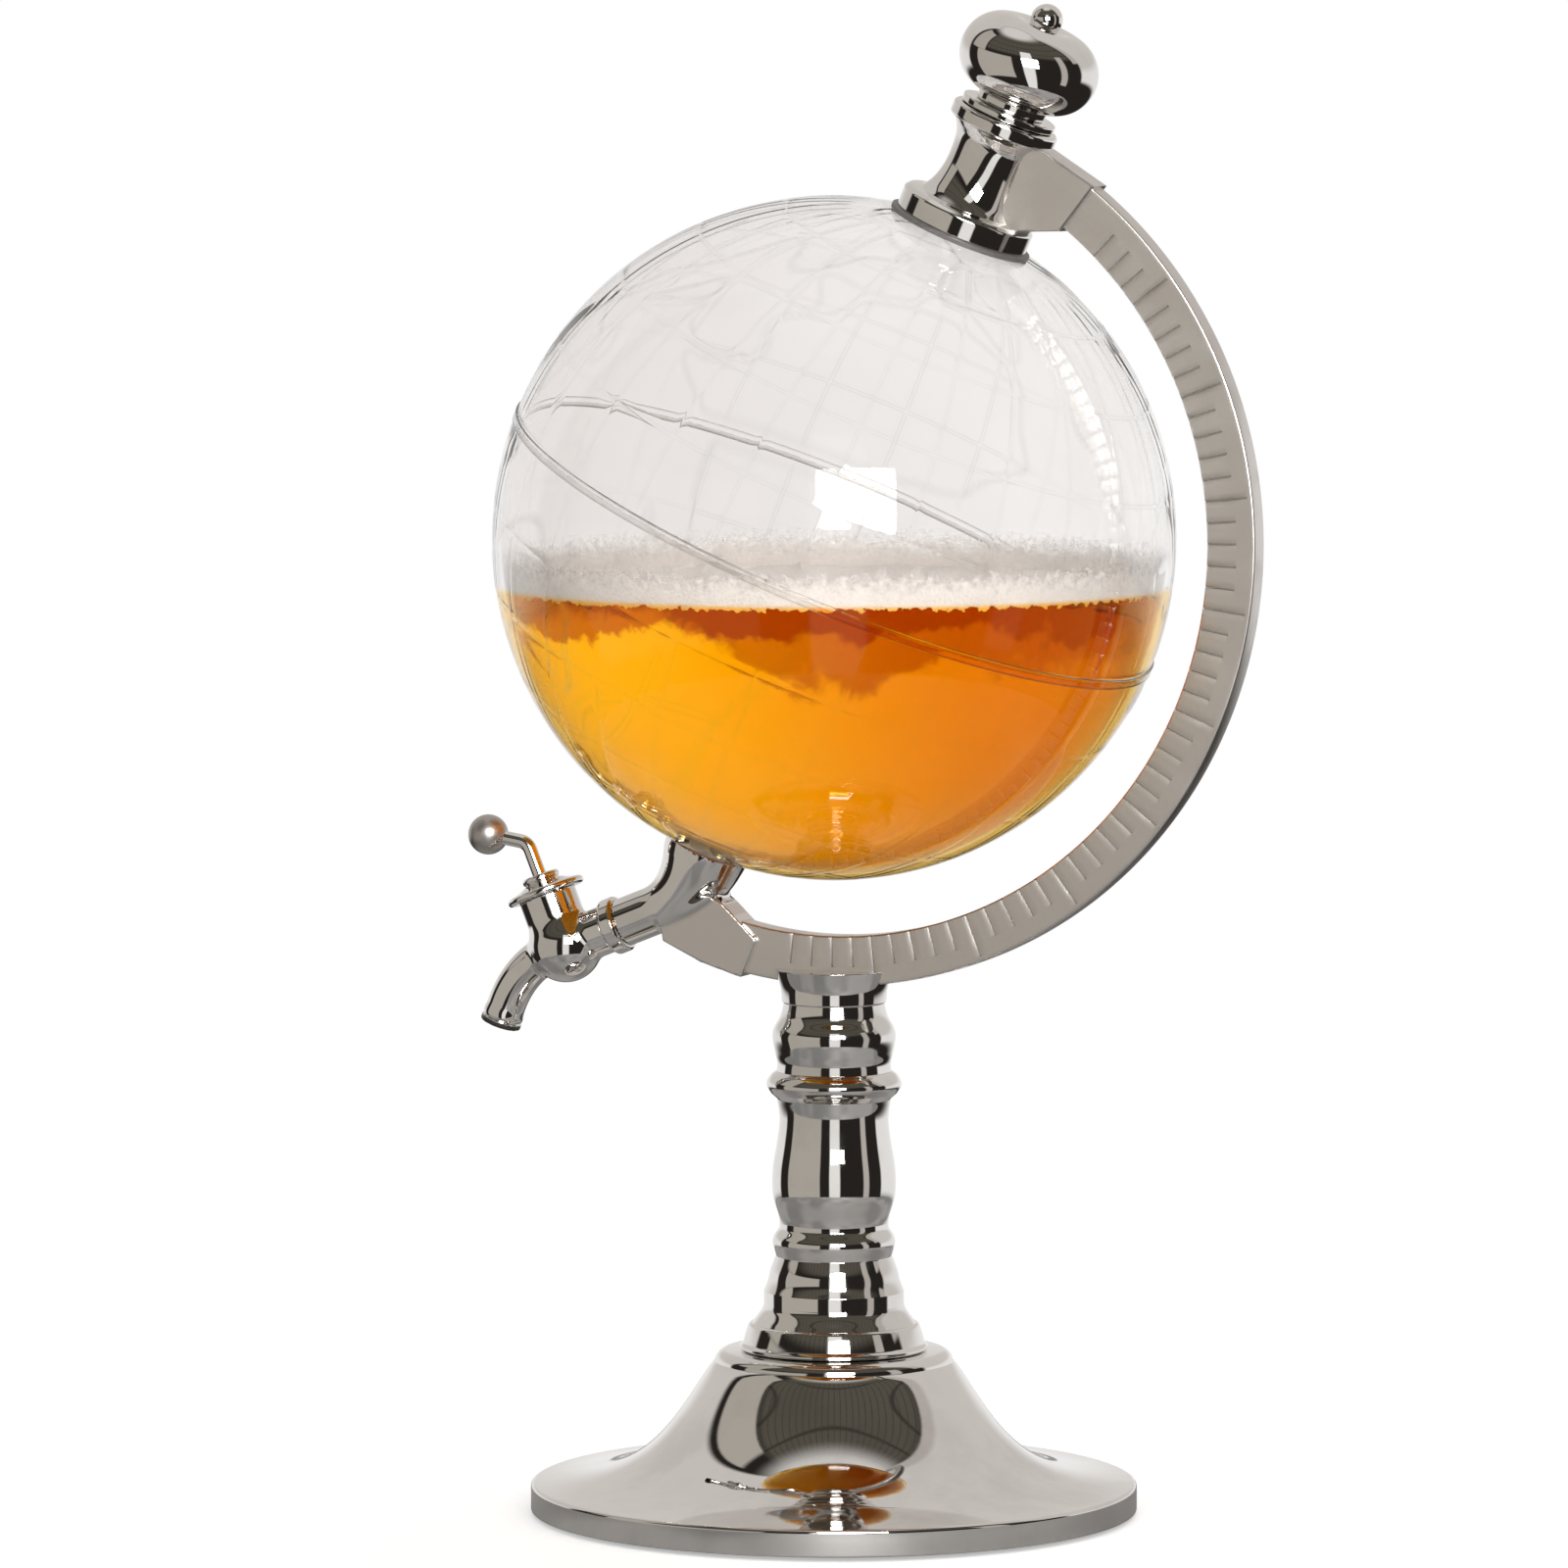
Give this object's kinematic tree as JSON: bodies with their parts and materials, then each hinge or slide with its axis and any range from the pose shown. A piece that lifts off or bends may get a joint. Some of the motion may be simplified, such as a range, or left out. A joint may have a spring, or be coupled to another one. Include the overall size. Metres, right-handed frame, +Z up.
{
  "type": "globe drink dispenser",
  "caption": "Clear globe drink dispenser held in a graduated meridian arc on a turned, footed stem, with a lift-out filler cap at the top and a lever tap at the bottom.",
  "frame": {"origin": "centre of the underside of the pad that the foot rests on", "axes": "+Z up; +X towards the side where the meridian arc bulges, -X towards the tap; the arc lies in the XZ plane"},
  "size_m": [0.2475, 0.201, 0.4428],
  "materials": {
    "chrome": "mirror bright plating",
    "arc_metal": "satin plated, with engraved marks",
    "clear_shell": "clear, polished",
    "black_rubber": "matte",
    "plate_paint": "black powder coat",
    "plain_steel": "zinc plated",
    "plug_brass": "turned"
  },
  "bodies": {
    "stand": {"foot": "chrome", "base_plate": "plate_paint", "base_plate_screws": "plain_steel", "base_pad": "black_rubber", "stem_ring": "chrome", "stem_column": "chrome", "arc_saddle": "chrome", "tie_rod": "plain_steel", "tie_rod_nut": "plain_steel", "tie_rod_washer": "plain_steel", "meridian_arc": "arc_metal", "arc_set_screws": "plain_steel", "upper_collar": "chrome", "collar_gasket": "black_rubber", "globe_upper_half": "clear_shell", "globe_lower_half": "clear_shell", "outlet_gasket": "black_rubber", "outlet_elbow": "chrome", "outlet_seal_ring": "black_rubber", "tap_coupling": "chrome", "tap_body": "chrome", "tap_bonnet": "chrome"},
    "tap_handle": {"valve_plug": "plug_brass", "plug_seal_rings": "black_rubber", "lever_rod": "chrome", "lever_ball": "chrome"},
    "filler_cap": {"cap_stopper": "chrome", "stopper_seal_ring": "black_rubber", "cap_knob": "chrome", "cap_finial": "chrome"}
  },
  "joints": [
    {"name": "tap_turn", "type": "hinge", "parent": "stand", "child": "tap_handle", "pos_m": [-0.08548, 0, 0.16425], "axis": [-0.3746, 0, 0.9272], "range_deg": [0, 90]},
    {"name": "cap_lift", "type": "slide", "parent": "stand", "child": "filler_cap", "axis": [0.3987, 0, 0.9171], "range_m": [0, 0.05]}
  ]
}
